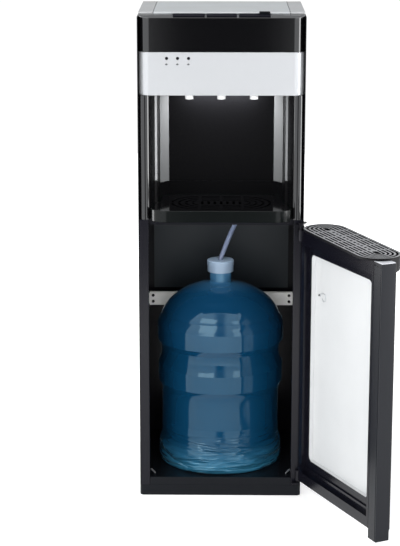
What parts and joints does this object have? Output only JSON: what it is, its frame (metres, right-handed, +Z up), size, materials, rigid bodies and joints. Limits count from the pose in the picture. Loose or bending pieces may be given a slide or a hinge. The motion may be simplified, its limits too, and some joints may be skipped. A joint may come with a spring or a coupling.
{
  "type": "bottom load water cooler",
  "caption": "Tall floor-standing water cooler with three dispensing keys, a drip tray in a niche, and a hinged door over a bay holding a water bottle on its slide-in floor.",
  "frame": {"origin": "on the floor, at the middle of the cabinet's 340 x 320 mm footprint", "axes": "+Z up along the cabinet's height, the front faces -Y, +X to the right seen from the front"},
  "size_m": [0.5163, 0.637, 1.02],
  "materials": {
    "black_shell": "satin",
    "dark_sheet": "satin",
    "zinc_sheet": "satin",
    "black_plastic": "matte",
    "dark_plastic": "satin",
    "gloss_black": "gloss",
    "silver": "satin",
    "satin_trim": "satin",
    "lid_grey": "satin",
    "white_plastic": "satin",
    "led": "gloss",
    "tray_grey": "satin",
    "foam": "rough",
    "stainless": "brushed",
    "copper": "satin",
    "rubber": "matte",
    "hose": "gloss",
    "silicone": "satin",
    "bottle_blue": "gloss",
    "water": "gloss",
    "cap_white": "satin",
    "board_green": "satin",
    "red": "satin",
    "blue": "satin",
    "green": "satin",
    "steel": "satin"
  },
  "bodies": {
    "cabinet": {"alcove_liner": "gloss_black", "alcove_trims": "satin_trim", "base_tray": "black_plastic", "bay_back_panel": "dark_sheet", "bay_screws": "black_plastic", "bottle_hose": "hose", "button_bezel": "black_plastic", "button_springs": "steel", "cold_tank": "stainless", "cold_tank_foam": "foam", "compressor": "black_shell", "compressor_pads": "rubber", "condenser_coil": "black_shell", "control_band": "silver", "control_board": "board_green", "cross_bar": "zinc_sheet", "door_jambs": "dark_sheet", "evaporator_coil": "copper", "feed_tube": "silicone", "front_columns": "gloss_black", "hinge_brackets": "zinc_sheet", "hose_bulkhead": "white_plastic", "hot_tank": "stainless", "led_lenses": "led", "levelling_feet": "rubber", "mid_deck": "dark_sheet", "power_inlet": "black_plastic", "rear_panel": "black_shell", "side_panel_left": "black_shell", "side_panel_right": "black_shell", "spout_tubes": "silicone", "spouts": "white_plastic", "switch_frame": "black_plastic", "switch_plate": "white_plastic", "tank_shelf": "zinc_sheet", "top_cover": "lid_grey", "top_trims": "lid_grey", "upper_fascia": "gloss_black", "water_pump": "white_plastic"},
    "door": {"door_frame": "dark_plastic", "door_liner": "white_plastic", "door_skin": "gloss_black", "door_post": "dark_plastic", "post_cap": "tray_grey", "door_magnet": "rubber"},
    "door_tray": {"door_tray": "gloss_black"},
    "door_tray_grille": {"door_tray_grille": "tray_grey"},
    "drip_tray": {"drip_tray": "gloss_black"},
    "drip_grille": {"drip_grille": "gloss_black"},
    "bottle": {"bottle": "bottle_blue", "water": "water", "bottle_cap": "cap_white", "dip_tube": "white_plastic"},
    "button_left": {"button_left": "gloss_black"},
    "button_centre": {"button_centre": "gloss_black"},
    "button_right": {"button_right": "gloss_black"},
    "child_lock": {"child_lock": "dark_plastic"},
    "rocker_hot": {"rocker_hot": "red"},
    "rocker_cold": {"rocker_cold": "blue"},
    "rocker_light": {"rocker_light": "green"}
  },
  "joints": [
    {"name": "door_hinge", "type": "hinge", "parent": "cabinet", "child": "door", "pos_m": [0.163, -0.167, 0.03], "axis": [0, 0, 1], "range_deg": [-115.5, 8]},
    {"name": "bottle_slide", "type": "slide", "parent": "cabinet", "child": "bottle", "axis": [0, -1, 0], "range_m": [0, 0.29], "deforming": ["bottle_hose"]},
    {"name": "button_left_press", "type": "slide", "parent": "cabinet", "child": "button_left", "axis": [0, 0, -1], "range_m": [0, 0.0025], "stiffness_N_per_m": 400, "springref_m": -0.001, "deforming": ["button_springs"]},
    {"name": "button_centre_press", "type": "slide", "parent": "cabinet", "child": "button_centre", "axis": [0, 0, -1], "range_m": [0, 0.0025], "stiffness_N_per_m": 400, "springref_m": -0.001},
    {"name": "button_right_press", "type": "slide", "parent": "cabinet", "child": "button_right", "axis": [0, 0, -1], "range_m": [0, 0.0025], "stiffness_N_per_m": 400, "springref_m": -0.001},
    {"name": "child_lock_slide", "type": "slide", "parent": "button_right", "child": "child_lock", "axis": [-1, 0, 0], "range_m": [0, 0.0045]},
    {"name": "drip_tray_lift", "type": "slide", "parent": "cabinet", "child": "drip_tray", "axis": [0, 0, 1], "range_m": [0, 0.03]},
    {"name": "drip_grille_lift", "type": "slide", "parent": "drip_tray", "child": "drip_grille", "axis": [0, 0, 1], "range_m": [0, 0.03]},
    {"name": "door_tray_lift", "type": "slide", "parent": "door", "child": "door_tray", "axis": [0, 0, 1], "range_m": [0, 0.03]},
    {"name": "door_tray_grille_lift", "type": "slide", "parent": "door_tray", "child": "door_tray_grille", "axis": [0, 0, 1], "range_m": [0, 0.03]},
    {"name": "rocker_hot_hinge", "type": "hinge", "parent": "cabinet", "child": "rocker_hot", "pos_m": [0, 0.1572, 0.79], "axis": [1, 0, 0], "range_deg": [0, 14]},
    {"name": "rocker_cold_hinge", "type": "hinge", "parent": "cabinet", "child": "rocker_cold", "pos_m": [0, 0.1572, 0.79], "axis": [1, 0, 0], "range_deg": [0, 14]},
    {"name": "rocker_light_hinge", "type": "hinge", "parent": "cabinet", "child": "rocker_light", "pos_m": [0, 0.1572, 0.79], "axis": [1, 0, 0], "range_deg": [0, 14]}
  ]
}
